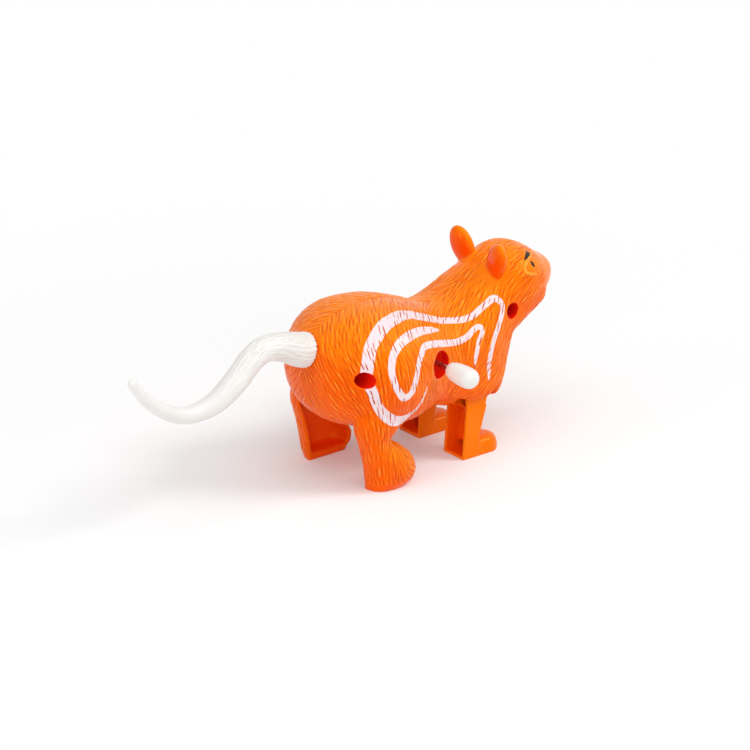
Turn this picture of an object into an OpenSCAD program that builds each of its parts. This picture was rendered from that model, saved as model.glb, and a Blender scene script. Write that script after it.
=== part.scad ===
/* [Shells] */
// Width of the body across the haunches
body_width = 46; // [45:0.5:50]
// Wall of the two half shells
wall = 1.6; // [1.2:0.1:2]
// Clearance hole round the winding shaft
winding_hole_d = 7.5; // [6:0.1:9]
// Height of each ear above the head
ear_height = 10; // [8:0.5:12]

/* [Tail] */
// Diameter of the tail where it meets the rump
tail_root_d = 10.3; // [9.6:0.1:10.6]
// Diameter of the tail at its tip
tail_tip_d = 2.8; // [2:0.1:3.6]
// Neck of the tail, clamped by the shells
tail_neck_d = 4.4; // [3.6:0.1:5]
// Thickness of the tail's tang
tang_t = 3; // [2:0.1:4]

/* [Winding key] */
// Diameter of the winding knob
knob_d = 6; // [5:0.1:7]
// Length of the winding knob
knob_len = 10.8; // [9:0.1:12]
// Distance of the knob's outer end from the middle of the body
key_reach = 33; // [31:0.5:36]
// Diameter of the steel arbors in the motor
arbor_d = 1.5; // [1.2:0.1:1.8]

/* [Front legs] */
// Width of a front leg
leg_width = 9; // [8:0.1:9.4]
// Inner faces of the two front legs, apart
leg_gap = 10.8; // [10:0.1:12]
// Wall of the hollow leg
leg_wall = 1; // [0.8:0.1:1.4]
// Thickness of the arm that hangs on the crank
arm_t = 1.8; // [1.4:0.1:2]
// Throw of the crank that lifts the legs
crank_throw = 1.5; // [1:0.1:1.6]
// Diameter of a crank pin
crank_pin_d = 2; // [1.6:0.1:2.4]

/* [Motor] */
// Gear module
gear_module = 0.5; // [0.48:0.01:0.51]
// Distance between the motor's two bearing plates
plate_gap = 9.2; // [9.2:0.1:9.8]
// Thickness of a bearing plate
plate_t = 1.4; // [1:0.1:1.5]
// Thickness of the mainspring's strip
spring_t = 0.3; // [0.2:0.05:0.4]

/* [Screws] */
// Thread of the two shell screws
screw_d = 2; // [1.6:0.1:2.4]
// Head of a shell screw
screw_head_d = 3.8; // [3.4:0.1:4]
// Recess for the head of a shell screw
screw_recess_d = 4.5; // [4.2:0.1:5]
// Thread of the three cover screws
cover_screw_d = 1.4; // [1.2:0.1:1.6]

/* [Fits] */
// Radial clearance of a running fit
run_fit = 0.05; // [0.03:0.01:0.08]
// Free gap between pieces that pass one another
free_gap = 0.3; // [0.2:0.05:0.4]

/* [Hidden] */
$fn = 32;
eps = 0.01;
far = 200;
orange = [0.95, 0.36, 0.04];
ivory = [0.95, 0.95, 0.92];
steel = [0.72, 0.72, 0.74];
brass = [0.8, 0.66, 0.32];
nylon = [0.88, 0.86, 0.8];

// Sections of the body from rump to nose: place, top, bottom, half width as a share of the
// body's half width, and how square the lower half is
body_sections = [
    [-12.5, 37.2, 33, 0.08, 2.2], [-11.5, 42.4, 26.2, 0.38, 2.2], [-8.5, 45, 20.8, 0.59, 2.2],
    [-3, 48.2, 17.2, 0.82, 2.2], [5, 50, 15.6, 1, 2.3], [15, 49.5, 15.2, 0.92, 2.8],
    [24, 46.5, 16.5, 0.77, 2.8], [31, 43.8, 15, 0.71, 3.6], [38, 45.2, 15.1, 0.7, 7],
    [44.5, 48.8, 15.1, 0.66, 7], [48.6, 51.4, 16.4, 0.59, 5], [51.4, 53, 22, 0.55, 3],
    [55, 54.6, 28.6, 0.52, 2.2], [60, 55, 32.6, 0.5, 2.2], [65, 52.9, 35, 0.43, 2.2],
    [68.8, 50.1, 37.2, 0.33, 2.2], [71.4, 48.6, 39.8, 0.24, 2.2], [73, 46.9, 42, 0.16, 2.2],
    [73.5, 45, 43.4, 0.06, 2.2]];
section_steps = 2;
ring_points = 32;
upper_power = 2.2;
cavity_rear = -10.8;
cavity_front = 69;

// Sections of a hind leg from the sole up: height, rear edge, front edge, outer face
hind_sections = [
    [0, -0.5, 12, 18], [2, -1, 14.5, 19.5], [5, -1.3, 15, 20], [9, -2, 13, 20], [12, -2.8, 9.5, 19.3],
    [14.5, -3.5, 5.2, 18.7], [18, -4.8, 9, 19.2], [20, -5, 12.5, 19.5], [22.5, -4.8, 17, 19.8],
    [26, -3.2, 19, 19.8], [31, 1, 16, 19]];
hind_rim = 12.3;
hind_power = 2.6;
hind_points = 14;
hind_opening = 1;

// Points on the middle line of the tail, each with its share of the way from the tip's radius
// to the root's
tail_line = [[-11.4, 40.4, 1], [-14.5, 41.4, 0.93], [-20, 43.6, 0.74], [-26, 44.4, 0.63], [-31, 42, 0.59],
    [-36.7, 36.8, 0.56], [-44, 32.6, 0.45], [-52.6, 31.8, 0.31], [-60, 34.6, 0.22], [-66.8, 40, 0.12],
    [-71.5, 46, 0]];
tail_cap_angles = [30, 60, 80];
tail_steps = 4;
tail_sides = 16;
tail_rise = 18;

// Places of the arbors, looking at the left side: x along the body, z up
winding_at = [21.8, 33.2];
great_teeth = 30;
second_teeth = 30;
pinion_teeth = 10;
mesh_distance = gear_module * (great_teeth + pinion_teeth) / 2;
function towards(a) = [cos(a), sin(a)];
second_bearing = -18.6;
crank_bearing = -58.5;
escape_bearing = 24.8;
second_at = winding_at + mesh_distance * towards(second_bearing);
crank_at = second_at + mesh_distance * towards(crank_bearing);
escape_at = second_at + mesh_distance * towards(escape_bearing);
pallet_distance = 6.2;
pallet_turn = -15;
pallet_at = escape_at + pallet_distance * towards(pallet_turn);
guide_rise = 7;
guide_at = crank_at + [0, guide_rise];
pin_at = crank_at + [0, crank_throw];
window_at = guide_at + [0, crank_throw];

arbor_r = arbor_d / 2;
bore_r = arbor_r + run_fit;
crank_pin_r = crank_pin_d / 2;
guide_r = 1;
window_r = guide_r + crank_throw + free_gap / 2;
window_rim = 1.4;

// Gears have involute flanks with backlash, in shares of the module
pressure = 25;
addendum = 0.8;
dedendum = 1.05;
backlash = 0.14;
flank_points = 4;

// Turn of each wheel that puts a tooth of one in a gap of the next
second_pinion_turn = 180 + second_bearing + 180 / pinion_teeth;
crank_turn = 180 + crank_bearing + 180 / pinion_teeth;
escape_lead = (escape_bearing - crank_bearing) / (360 / second_teeth);
escape_turn = 180 + escape_bearing + (escape_lead + 0.5) * 360 / pinion_teeth;

// The escape wheel, and the pallet with two pads that clear its teeth over the pallet's swing
escape_r = 3.3;
escape_root = 2.3;
escape_teeth = 12;
escape_rake = 12;
pad_r = 3.9;
pad_spread = 50;
pad_long = 0.9;
pad_wide = 0.5;
pallet_hub_r = 1.6;
pallet_waist = 2;

// Layers of the motor across the body, right side negative
case_inner = plate_gap / 2;
case_outer = case_inner + plate_t;
spring_layer = [-case_inner + 0.4, -0.6];
great_layer = [0, 1.4];
second_pinion_layer = [-0.4, 1.8];
second_wheel_layer = [2.2, 3.6];
pinion_layer = [1.9, 3.9];
escape_layer = [-1, 0.2];
hub_r = 2.2;
spring_r = 7.4;
spring_turns = 6;
spring_points = 24;
hub_gap = 0.02;
stud_r = 0.4;
wheel_room = 0.4;
case_wall = 1;
great_r = gear_module * (great_teeth / 2 + addendum);
pinion_neck = 3.5;
pinion_neck_r = gear_module * pinion_neck;
case_r = great_r + wheel_room + case_wall;
crank_case_r = 4.4;
escape_case_r = 5.2;
pallet_case_r = 5;

// Outer side of the motor: crank disc, leg arm and cap
disc_t = 1.2;
disc_rim = 0.7;
cap_t = 0.9;
cap_rim = 0.8;
end_play = 0.2;
guide_lip = 0.4;
disc_in = case_outer + free_gap;
disc_out = disc_in + disc_t;
disc_r = crank_throw + crank_pin_r + disc_rim;
arm_in = disc_out + end_play;
arm_out = arm_in + arm_t;
cap_in = arm_out + end_play;
cap_out = cap_in + cap_t;
guide_end = arm_out + guide_lip;

// Screws that join the cover to the case, between the wheels
cover_boss_r = 1.3;
cover_across = case_r - case_wall - 0.2;
cover_mid = (winding_at + second_at) / 2;
cover_step = 2.2;
cover_bearing = -33.2;
cover_side = cover_across * towards(second_bearing + 90);
cover_front = (crank_at + pallet_at) / 2 + cover_step * towards(cover_bearing);
cover_points = [cover_mid + cover_side, cover_mid - cover_side, cover_front];
cover_head_r = 1.4;
cover_head_h = 0.9;
cover_screw_end = case_inner - 2;
cover_bore_end = case_inner - 1;

// Posts of the shells that clamp the motor, and their spigots
case_posts = [winding_at + [-5.6, -3.6], winding_at + [3.6, 5], pallet_at + [0, 3]];
post_r = 1.8;
spigot_r = 0.8;
spigot_len = 0.9;

// Well of the right shell round the winding shaft
well_floor = 14;
well_wall = 1.2;
well_gap = 0.4;

// Shell screws
hip_at = [-4.2, 35];
neck_at = [52.2, 39.6];
screw_len = 12;
screw_head_h = 1.4;
recess_floor = 2;
screw_gap = 0.15;
screw_spare = 1;
screw_post_r = screw_recess_d / 2 + 1.1;

// Winding knob from its outer end: share of the length, share of the radius
knob_profile = [[0, 0.2], [0.02, 0.5], [0.08, 0.8], [0.18, 0.95], [0.3, 1], [0.48, 0.99], [0.66, 0.94],
    [0.82, 0.86], [0.94, 0.73], [1, 0.5]];
knob_steps = 2;
knob_end = 1.8;

// Front leg, in side view
leg_rear = crank_at.x - 3.5;
leg_front = crank_at.x + 5;
leg_ankle = crank_at.x + 2.4;
leg_toe = crank_at.x + 10.9;
leg_top = 14.8;
foot_h = 4.8;
foot_round = 3.2;
foot_steps = 8;
ankle_h = 6.2;
foot_roof = 2;
roof_set = 3;
rear_lean = 1.2;
function rear_at(z) = leg_rear + rear_lean * z / leg_top;
toe_centre = leg_toe - leg_width / 2;
arm_half = 2.8;

// The leg's outer and front walls go on up into the body, through an opening in the belly
collar_top = 19.6;
collar_step = 0.3;
collar_front = leg_front + (leg_front - leg_ankle) * (collar_top - leg_top) / (leg_top - ankle_h);
collar_in = case_outer + cover_head_h + free_gap;
belly_cut = 20.2;

tail_dir = [-cos(tail_rise), sin(tail_rise)];
tail_at = [tail_line[0].x, tail_line[0].y];
seat_depth = 3.2;
seat_through = 1;
seat_gap = 0.02;
seat_boss = 2.6;
neck_lap = 1.6;
tang_r = 1.9;
tail_tip_r = tail_tip_d / 2;
tail_root_r = tail_root_d / 2;

ear_at = [50.6, 5.9, 50];
ear_turn = 11;
ear_lean = 26;
ear_sweep = 6;
ear_half_t = 2.1;
ear_half_w = 4.1;
ear_middle = 0.4;
ear_centre = ear_height * ear_middle;
ear_lip = 1.2;
ear_cup_out = 0.3;

function smooth(a, b, c, d, t) = 0.5 * (2 * b + (c - a) * t + (2 * a - 5 * b + 4 * c - d) * t * t
    + (3 * b - a - 3 * c + d) * t * t * t);
function sampled(list, steps) = let (n = len(list)) [
    for (i = [0 : n - 2], k = [0 : steps - 1])
        smooth(list[max(i - 1, 0)], list[i], list[i + 1], list[min(i + 2, n - 1)], k / steps),
    list[n - 1]];
function power(v, p) = sign(v) * pow(abs(v), 2 / p);
function body_ring(s) = let (mid = (s[1] + s[2]) / 2, rise = (s[1] - s[2]) / 2) [
    for (k = [0 : ring_points - 1])
        let (a = -360 * k / ring_points, p = sin(a) < -eps ? s[4] : upper_power)
        [s[0], s[3] * body_width / 2 * power(cos(a), p), mid + rise * power(sin(a), p)]];
body_grid = [for (s = sampled(body_sections, section_steps)) body_ring(s)];
function unit(v) = v / norm(v);
function grid_normal(g, i, j) = let (n = len(g[0]))
    unit(cross(g[i][(j + 1) % n] - g[i][(j + n - 1) % n], g[i + 1][j] - g[i - 1][j]));
function inset(g, d) = [for (i = [1 : len(g) - 2])
    [for (j = [0 : len(g[0]) - 1]) g[i][j] + d * grid_normal(g, i, j)]];
function sum(v, i = 0) = i < len(v) ? v[i] + sum(v, i + 1) : 0;
function middle(ring) = [for (k = [0 : 2]) sum([for (p = ring) p[k]]) / len(ring)];

tail_samples = sampled(tail_line, tail_steps);
tail_count = len(tail_samples);
function tail_tangent(i) = let (a = tail_samples[max(i - 1, 0)], b = tail_samples[min(i + 1, tail_count - 1)])
    i == 0 ? tail_dir : unit([b.x - a.x, b.y - a.y]);
function tail_ring(i) = let (c = tail_samples[i], t = tail_tangent(i),
    r = tail_tip_r + (tail_root_r - tail_tip_r) * c[2]) [
    for (k = [0 : tail_sides - 1]) let (a = 360 * k / tail_sides)
        [c.x - t.y * r * cos(a), r * sin(a), c.y + t.x * r * cos(a)]];
tail_end = tail_samples[tail_count - 1];
tail_end_dir = tail_tangent(tail_count - 1);
function cap_ring(a) = let (c = [tail_end.x, tail_end.y] + tail_tip_r * sin(a) * tail_end_dir,
    r = tail_tip_r * cos(a)) [
    for (k = [0 : tail_sides - 1]) let (b = 360 * k / tail_sides)
        [c.x - tail_end_dir.y * r * cos(b), r * sin(b), c.y + tail_end_dir.x * r * cos(b)]];

// The part stands on the middle of its outline box
box_front = max([for (ring = body_grid, p = ring) p.x]);
box_rear = tail_end.x - tail_tip_r;
box_left = max([for (ring = body_grid, p = ring) p.y]);
origin = [(box_front + box_rear) / 2, (box_left - key_reach) / 2, 0];

module skin(grid) {
    n = len(grid[0]);
    m = len(grid);
    points = concat([for (ring = grid, p = ring) p], [middle(grid[0]), middle(grid[m - 1])]);
    sides = [for (i = [0 : m - 2], j = [0 : n - 1], k = [0, 1])
        let (a = i * n + j, b = i * n + (j + 1) % n)
        k == 0 ? [a, b, a + n] : [b, b + n, a + n]];
    ends = [for (j = [0 : n - 1], k = [0, 1])
        let (a = j, b = (j + 1) % n, last = (m - 1) * n)
        k == 0 ? [b, a, m * n] : [last + a, last + b, m * n + 1]];
    polyhedron(points, concat(sides, ends), convexity = 6);
}

// A cylinder across the body, from y0 to y1
module across(at, r, y0, y1) {
    translate([at.x, y0, at.y]) rotate([-90, 0, 0]) cylinder(r = r, h = y1 - y0);
}

// The same as a hole in a moulded shell, drawn round the true circle
module shell_hole(at, r, y0, y1) {
    across(at, r / cos(180 / $fn), y0, y1);
}

// A flat outline in side view, from y0 to y1
module slab(y0, y1) {
    translate([0, y1, 0]) rotate([90, 0, 0]) linear_extrude(y1 - y0) children();
}

module left_half() {
    translate([-far, 0, -far]) cube([2 * far, far, 2 * far]);
}

// What follows is drawn for the left side, and turned over for the right
module on_side(side) {
    mirror([0, side > 0 ? 0 : 1, 0]) children();
}

module hind_slice(s, inset) {
    reach = s[1] + inset;
    span = s[2] - s[1] - 2 * inset;
    depth = s[3] - hind_rim - inset;
    arc = [for (k = [0 : hind_points]) let (a = 180 * k / hind_points)
        [reach + span / 2 * (1 + power(cos(a), hind_power)), hind_rim + depth * power(sin(a), hind_power)]];
    back = hind_rim - (inset > 0 ? hind_opening : 0);
    translate([0, 0, s[0]]) linear_extrude(eps) polygon(concat(arc, [[reach, back], [reach + span, back]]));
}

module hind_leg(inset) {
    count = len(hind_sections);
    first = inset > 0 ? 1 : 0;
    for (i = [first : count - 2])
        hull() {
            hind_slice(hind_sections[i], inset);
            hind_slice(hind_sections[i + 1], inset);
        }
}

module ear() {
    translate(ear_at) rotate([-ear_lean, -ear_sweep, 0]) rotate([0, 0, ear_turn]) difference() {
        translate([0, 0, ear_centre])
            scale([ear_half_t, ear_half_w, ear_height - ear_centre]) sphere(1, $fn = 24);
        translate([ear_half_t + ear_cup_out, 0, ear_centre])
            scale([ear_half_t, ear_half_w - ear_lip, ear_height - ear_centre - ear_lip]) sphere(1, $fn = 20);
    }
}

module body_cavity() {
    full = inset(body_grid, wall);
    skin([for (ring = full) if (ring[0].x > cavity_rear && ring[0].x < cavity_front) ring]);
}

module shell_outer() {
    intersection() {
        union() {
            skin(body_grid);
            hind_leg(0);
            ear();
        }
        left_half();
    }
}

module tail_socket(r, from, to) {
    translate([tail_at.x + from * tail_dir.x, 0, tail_at.y + from * tail_dir.y])
        rotate([0, -90 + tail_rise, 0]) cylinder(r = r / cos(180 / $fn), h = to - from);
}

module shell_posts(side) {
    for (at = case_posts) {
        across(at, post_r, case_outer, far);
        across(at, spigot_r, case_outer - spigot_len, far);
    }
    across(hip_at, screw_post_r, tang_t / 2, far);
    across(neck_at, screw_post_r, 0, far);
    tail_socket(tail_neck_d / 2 + seat_boss, -seat_depth, 0);
    if (side < 0)
        across(winding_at, winding_hole_d / 2 + well_wall, well_floor - well_wall, far);
}

// The right shell takes the screw heads and the winding shaft, the left one the screw threads
module shell_cuts(side) {
    tail_socket(tail_root_r + seat_gap, 0, far);
    tail_socket(tail_neck_d / 2 + seat_gap, -seat_depth - seat_through, eps);
    for (screw = [[hip_at, tang_t / 2 + recess_floor], [neck_at, recess_floor]])
        if (side < 0) {
            shell_hole(screw[0], screw_recess_d / 2, screw[1], far);
            shell_hole(screw[0], screw_d / 2 + screw_gap, -eps, screw[1] + eps);
        } else {
            shell_hole(screw[0], screw_d / 2, -eps, screw_len - recess_floor + screw_spare);
        }
    if (side < 0) {
        shell_hole(winding_at, winding_hole_d / 2, well_floor, far);
        shell_hole(winding_at, arbor_r + well_gap, case_outer, far);
    }
    sweep = crank_throw + free_gap;
    translate([leg_rear - sweep, leg_gap / 2 - free_gap, 0])
        cube([collar_front - leg_rear + 2 * sweep, leg_width + 2 * free_gap, belly_cut]);
}

module shell(side) {
    color(orange) on_side(side) difference() {
        union() {
            difference() {
                shell_outer();
                body_cavity();
                hind_leg(wall);
            }
            intersection() {
                shell_outer();
                shell_posts(side);
            }
        }
        shell_cuts(side);
    }
}

module right_shell() { shell(-1); }

module left_shell() { shell(1); }

module tail() {
    color(ivory) difference() {
        union() {
            skin(concat([for (i = [0 : tail_count - 1]) tail_ring(i)],
                [for (a = tail_cap_angles) cap_ring(a)]));
            translate([tail_at.x + eps * tail_dir.x, 0, tail_at.y + eps * tail_dir.y])
                rotate([0, 90 + tail_rise, 0]) cylinder(d = tail_neck_d, h = seat_depth + neck_lap);
            slab(-tang_t / 2, tang_t / 2) hull() {
                translate(tail_at - (seat_depth + tang_r) * tail_dir) circle(tang_r);
                translate(hip_at) circle(screw_post_r);
            }
        }
        across(hip_at, screw_d / 2 + screw_gap, -tang_t, tang_t);
    }
}

module shell_screw(at, floor_y) {
    across(at, screw_head_d / 2, floor_y - screw_head_h, floor_y);
    across(at, screw_d / 2, floor_y - eps, floor_y + screw_len);
}

module shell_screws() {
    color(steel) {
        shell_screw(hip_at, -tang_t / 2 - recess_floor);
        shell_screw(neck_at, -recess_floor);
    }
}

// Half of the foot's section, from the sole out and over to the middle
foot_half = [for (k = [0 : foot_steps]) let (a = 90 * k / foot_steps)
    [leg_width / 2 * power(cos(a), foot_round), foot_h * power(sin(a), foot_round)]];

// A round-toed foot, from the shin to the toe
module foot(y) {
    translate([toe_centre, y, 0]) rotate_extrude() polygon(concat([[0, 0]], foot_half));
    translate([leg_ankle - leg_wall, y, 0]) rotate([90, 0, 90])
        linear_extrude(toe_centre - leg_ankle + leg_wall) polygon(concat(foot_half,
            [for (k = [foot_steps : -1 : 0]) [-foot_half[k].x, foot_half[k].y]]));
}

// The hollow leg in side view, open to the rear
module leg_hollow() {
    polygon([[leg_rear - leg_width, leg_wall], [leg_rear - leg_width, leg_top + eps],
        [leg_rear + roof_set, leg_top + eps], [leg_rear + roof_set, leg_top - leg_wall],
        [leg_front - leg_wall, leg_top - leg_wall], [leg_ankle - leg_wall, ankle_h],
        [leg_ankle - leg_wall, foot_h - foot_roof], [toe_centre, foot_h - foot_roof],
        [toe_centre, leg_wall]]);
}

// The leg's outer and front walls, set in a little above its roof
module leg_collar(y0, y1) {
    base = leg_top - leg_wall / 2;
    rear = rear_at(leg_top) + collar_step;
    front = leg_front - collar_step;
    difference() {
        slab(y0, y1) polygon([[rear, base], [rear, collar_top], [collar_front - collar_step, collar_top],
            [front, leg_top], [front, base]]);
        slab(-far, y1 - leg_wall) translate([-leg_wall, 0]) polygon([[leg_rear, 0], [leg_rear, far],
            [collar_front - collar_step, far], [collar_front - collar_step, collar_top],
            [front, leg_top], [front, 0]]);
    }
}

module front_leg(side) {
    y0 = leg_gap / 2;
    y1 = y0 + leg_width;
    color(orange) on_side(side) difference() {
        union() {
            slab(y0, y1) polygon([[leg_rear, 0], [rear_at(leg_top), leg_top], [leg_front, leg_top],
                [leg_ankle, ankle_h], [leg_ankle, 0]]);
            foot((y0 + y1) / 2);
            leg_collar(collar_in, y1 - collar_step);
            slab(arm_in, arm_out) {
                translate([crank_at.x - arm_half, leg_top - leg_wall])
                    square([2 * arm_half, window_at.y - leg_top + leg_wall]);
                translate(window_at) circle(window_r + window_rim);
            }
        }
        slab(y0 + leg_wall, y1 - leg_wall) leg_hollow();
        across(pin_at, crank_pin_r + run_fit, 0, far);
        across(window_at, window_r, 0, far);
    }
}

module front_leg_right() { front_leg(-1); }

module front_leg_left() { front_leg(1); }

module winding_knob() {
    side = [for (q = sampled(knob_profile, knob_steps)) [q[1] * knob_d / 2, q[0] * knob_len]];
    color(ivory) difference() {
        translate([winding_at.x, -key_reach, winding_at.y]) rotate([-90, 0, 0]) rotate_extrude()
            polygon(concat([[0, 0]], side, [[0, knob_len]]));
        across(winding_at, arbor_r, -key_reach + knob_end, 0);
    }
}

module winding_shaft() {
    color(steel) across(winding_at, arbor_r, -key_reach + knob_end, case_outer);
}

module spring_hub() {
    color(nylon) difference() {
        across(winding_at, hub_r, spring_layer[0] - end_play, great_layer[0]);
        across(winding_at, arbor_r, -far, far);
    }
}

function involute(a) = tan(a) * 180 / PI - a;
function flank_angle(r, base) = r <= base ? 0 : involute(acos(base / r));
function gear_points(teeth) =
    let (pitch = gear_module * teeth / 2, base = pitch * cos(pressure),
        tip = pitch + addendum * gear_module, root = pitch - dedendum * gear_module,
        half_tooth = 90 / teeth - backlash / 2 / pitch * 180 / PI + flank_angle(pitch, base),
        low = max(root, base))
    [for (t = [0 : teeth - 1]) let (turn = 360 * t / teeth)
        each concat(
            [root * towards(turn - half_tooth)],
            [for (k = [0 : flank_points]) let (r = low + (tip - low) * k / flank_points,
                a = turn - half_tooth + flank_angle(r, base)) r * towards(a)],
            [for (k = [flank_points : -1 : 0]) let (r = low + (tip - low) * k / flank_points,
                a = turn + half_tooth - flank_angle(r, base)) r * towards(a)],
            [root * towards(turn + half_tooth)])];

module gear(at, teeth, layer, turn) {
    slab(layer[0], layer[1]) translate(at) rotate(turn) polygon(gear_points(teeth));
}

module bored(at) {
    difference() {
        children();
        across(at, arbor_r, -far, far);
    }
}

module great_wheel() {
    color(brass) bored(winding_at) gear(winding_at, great_teeth, great_layer, second_bearing);
}

module mainspring() {
    steps = spring_points * spring_turns;
    reach = spring_r - spring_t / 2;
    start = hub_r + spring_t / 2 + hub_gap;
    function edge(i, off) =
        (start + (reach - start) * i / steps + off) * towards(180 + 360 * spring_turns * i / steps);
    color(steel) slab(spring_layer[0], spring_layer[1]) translate(winding_at)
        polygon(concat([for (i = [0 : steps]) edge(i, spring_t / 2)],
            [for (i = [steps : -1 : 0]) edge(i, -spring_t / 2)]));
}

module case_outline(inset) {
    hull() {
        translate(winding_at) circle(case_r - inset);
        translate(second_at) circle(case_r - inset);
    }
    hull() {
        translate(second_at) circle(case_r - inset);
        translate(crank_at) circle(crank_case_r - inset);
        translate(escape_at) circle(escape_case_r - inset);
        translate(pallet_at) circle(pallet_case_r - inset);
    }
}

module bearing_holes() {
    for (at = [winding_at, second_at, crank_at, escape_at, pallet_at])
        across(at, bore_r, -far, far);
}

module motor_case() {
    color(nylon) difference() {
        union() {
            difference() {
                slab(-case_inner, case_outer) case_outline(0);
                slab(-far, case_inner) case_outline(case_wall);
            }
            intersection() {
                for (at = cover_points)
                    across(at, cover_boss_r, -case_inner, case_inner + eps);
                slab(-far, far) case_outline(0);
            }
            across(guide_at, guide_r, case_inner, guide_end);
        }
        for (at = cover_points)
            across(at, cover_screw_d / 2, -far, cover_bore_end);
        bearing_holes();
        for (at = case_posts)
            across(at, spigot_r + run_fit, case_outer - spigot_len, far);
    }
}

module motor_cover() {
    color(nylon) difference() {
        union() {
            slab(-case_outer, -case_inner) case_outline(0);
            across(guide_at, guide_r, -guide_end, -case_inner - eps);
            spring_stud();
        }
        for (at = cover_points)
            across(at, cover_screw_d / 2, -far, far);
        bearing_holes();
        for (at = case_posts)
            across(at, spigot_r + run_fit, -far, -case_outer + spigot_len);
    }
}

module cover_screws() {
    color(steel) for (at = cover_points) {
        across(at, cover_head_r, -case_outer - cover_head_h, -case_outer);
        across(at, cover_screw_d / 2, -case_outer - eps, cover_screw_end);
    }
}

module second_wheel() {
    color(brass) bored(second_at) {
        gear(second_at, pinion_teeth, second_pinion_layer, second_pinion_turn);
        gear(second_at, second_teeth, second_wheel_layer, crank_bearing);
        across(second_at, pinion_neck_r, second_pinion_layer[1] - eps, second_wheel_layer[0] + eps);
    }
}

module second_arbor() {
    color(steel) across(second_at, arbor_r, -case_outer, case_outer);
}

module crank_pinion() {
    color(brass) bored(crank_at) gear(crank_at, pinion_teeth, pinion_layer, crank_turn);
}

module crank_shaft() {
    color(steel) across(crank_at, arbor_r, -disc_out, disc_out);
}

module crank_disc(side) {
    color(nylon) on_side(side) {
        difference() {
            across(crank_at, disc_r, disc_in, disc_out);
            across(crank_at, arbor_r, 0, far);
        }
        across(pin_at, crank_pin_r, disc_out - eps, cap_out);
    }
}

module crank_disc_right() { crank_disc(-1); }

module crank_disc_left() { crank_disc(1); }

module crank_pin_caps() {
    color(nylon) for (side = [-1, 1])
        on_side(side) difference() {
            across(pin_at, crank_pin_r + cap_rim, cap_in, cap_out);
            across(pin_at, crank_pin_r, 0, far);
        }
}

module escape_wheel() {
    star = [for (t = [0 : escape_teeth - 1]) let (a = 360 * t / escape_teeth)
        each [escape_r * towards(a), escape_root * towards(a + escape_rake)]];
    color(brass) bored(escape_at) {
        slab(escape_layer[0], escape_layer[1]) translate(escape_at) polygon(star);
        gear(escape_at, pinion_teeth, pinion_layer, escape_turn);
        across(escape_at, pinion_neck_r, escape_layer[1] - eps, pinion_layer[0] + eps);
    }
}

module escape_arbor() {
    color(steel) across(escape_at, arbor_r, -case_outer, case_outer);
}

module pallet() {
    pad = [pallet_distance - pad_r * cos(pad_spread), pad_r * sin(pad_spread)];
    color(brass) bored(pallet_at) {
        across(pallet_at, pallet_hub_r, escape_layer[0], escape_layer[1]);
        slab(escape_layer[0], escape_layer[1]) translate(pallet_at) rotate(pallet_turn + 180)
            polygon([[-pallet_hub_r / 2, 0], pad + [-pad_long, pad_wide], pad, [pallet_waist, 0],
                [pad.x, -pad.y], [pad.x - pad_long, -pad.y - pad_wide]]);
    }
}

module pallet_arbor() {
    color(steel) across(pallet_at, arbor_r, -case_outer, case_outer);
}

// Stud that holds the outer end of the mainspring
module spring_stud() {
    across(winding_at - [spring_r + stud_r, 0], stud_r, -case_inner - eps, spring_layer[1]);
}

module placed() { translate(-origin) children(); }

placed() right_shell();
placed() left_shell();
placed() tail();
placed() shell_screws();
placed() front_leg_right();
placed() front_leg_left();
placed() winding_knob();
placed() winding_shaft();
placed() spring_hub();
placed() great_wheel();
placed() mainspring();
placed() motor_case();
placed() motor_cover();
placed() cover_screws();
placed() second_wheel();
placed() second_arbor();
placed() crank_pinion();
placed() crank_shaft();
placed() crank_disc_right();
placed() crank_disc_left();
placed() crank_pin_caps();
placed() escape_wheel();
placed() escape_arbor();
placed() pallet();
placed() pallet_arbor();
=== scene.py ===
"""Looks of a wind-up mouse: fur-textured plastic shells, painted stripes, tail, legs and winding knob."""

import math
import random

import bpy
import numpy as np
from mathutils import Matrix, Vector
from mathutils.kdtree import KDTree


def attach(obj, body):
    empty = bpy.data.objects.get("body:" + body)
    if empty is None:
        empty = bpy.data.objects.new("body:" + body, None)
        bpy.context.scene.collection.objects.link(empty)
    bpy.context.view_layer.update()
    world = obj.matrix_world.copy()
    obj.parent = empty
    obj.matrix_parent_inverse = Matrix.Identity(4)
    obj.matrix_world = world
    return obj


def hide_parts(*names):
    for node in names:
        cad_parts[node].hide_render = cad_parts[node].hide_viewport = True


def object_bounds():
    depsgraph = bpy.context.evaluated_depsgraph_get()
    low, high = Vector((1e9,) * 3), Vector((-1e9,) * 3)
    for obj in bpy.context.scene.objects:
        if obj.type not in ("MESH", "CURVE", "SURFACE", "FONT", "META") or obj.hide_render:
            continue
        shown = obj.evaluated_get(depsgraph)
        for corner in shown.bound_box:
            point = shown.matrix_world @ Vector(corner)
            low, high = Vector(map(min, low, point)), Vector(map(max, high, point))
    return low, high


MM = 0.001
# The plane on which the two shells meet, and the shift from the modelling frame, in mm
MID_Y = 5.0
SHIFT_X = -0.3
HAIR_SEED = 7

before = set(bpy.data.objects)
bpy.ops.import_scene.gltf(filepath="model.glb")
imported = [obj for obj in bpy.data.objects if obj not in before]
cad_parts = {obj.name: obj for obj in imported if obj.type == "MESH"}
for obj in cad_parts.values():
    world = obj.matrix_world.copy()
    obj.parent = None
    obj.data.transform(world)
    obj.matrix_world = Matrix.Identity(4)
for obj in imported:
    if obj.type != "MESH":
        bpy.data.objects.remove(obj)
cad_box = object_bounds()
random.seed(HAIR_SEED)

# Camera: the photograph's viewing angle in degrees, through a long lens
AZIMUTH = -38.5
ELEVATION = 22.9
SENSOR_MM = 36
LENS_MM = 518.4
# The middle of the picture, to the right of the modelling frame's origin and above it, in mm
AIM_RIGHT = 10.167
AIM_UP = 27.556
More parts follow.
